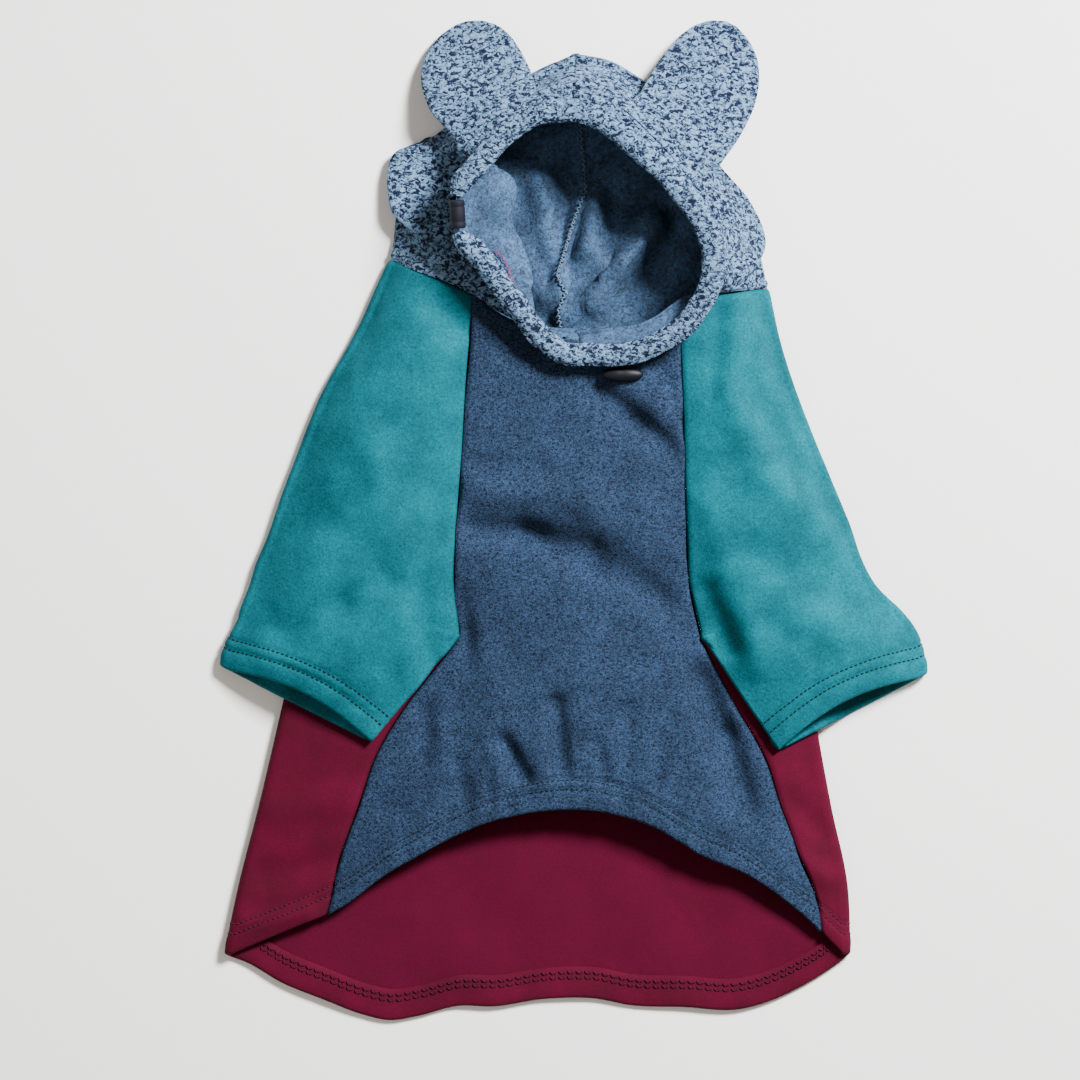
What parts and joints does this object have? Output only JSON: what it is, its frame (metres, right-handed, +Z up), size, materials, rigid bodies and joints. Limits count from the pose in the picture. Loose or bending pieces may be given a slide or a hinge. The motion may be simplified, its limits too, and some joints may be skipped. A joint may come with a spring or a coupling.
{
  "type": "dog hoodie",
  "caption": "Small dog's hoodie with raglan sleeves, scooped belly hem and eared hood, lying belly side up with every way in open.",
  "frame": {"origin": "bottom centre of the whole garment's bounding box, on the surface that it lies on", "axes": "+Y from the tail hem to the hood, +X to the right seen from above, +Z up out of the belly side"},
  "size_m": [0.4232, 0.5994, 0.0584],
  "materials": {
    "heather_sweatshirt": "heathered blue-grey knit, matt",
    "burgundy_sweatshirt": "burgundy knit, matt",
    "teal_sweatshirt": "teal knit, matt",
    "speckled_fleece": "speckled grey and navy sweater fleece, matt",
    "black_plastic": "black, glossy"
  },
  "bodies": {
    "root": {"belly_panel": "heather_sweatshirt", "belly_hem": "heather_sweatshirt", "back_panel": "burgundy_sweatshirt", "sleeve_left": "teal_sweatshirt", "sleeve_right": "teal_sweatshirt", "hood_left": "speckled_fleece", "hood_right": "speckled_fleece", "hood_rim": "speckled_fleece", "ear_left": "speckled_fleece", "ear_right": "speckled_fleece", "cord_stop_side": "black_plastic", "cord_stop_chin": "black_plastic"}
  },
  "joints": []
}
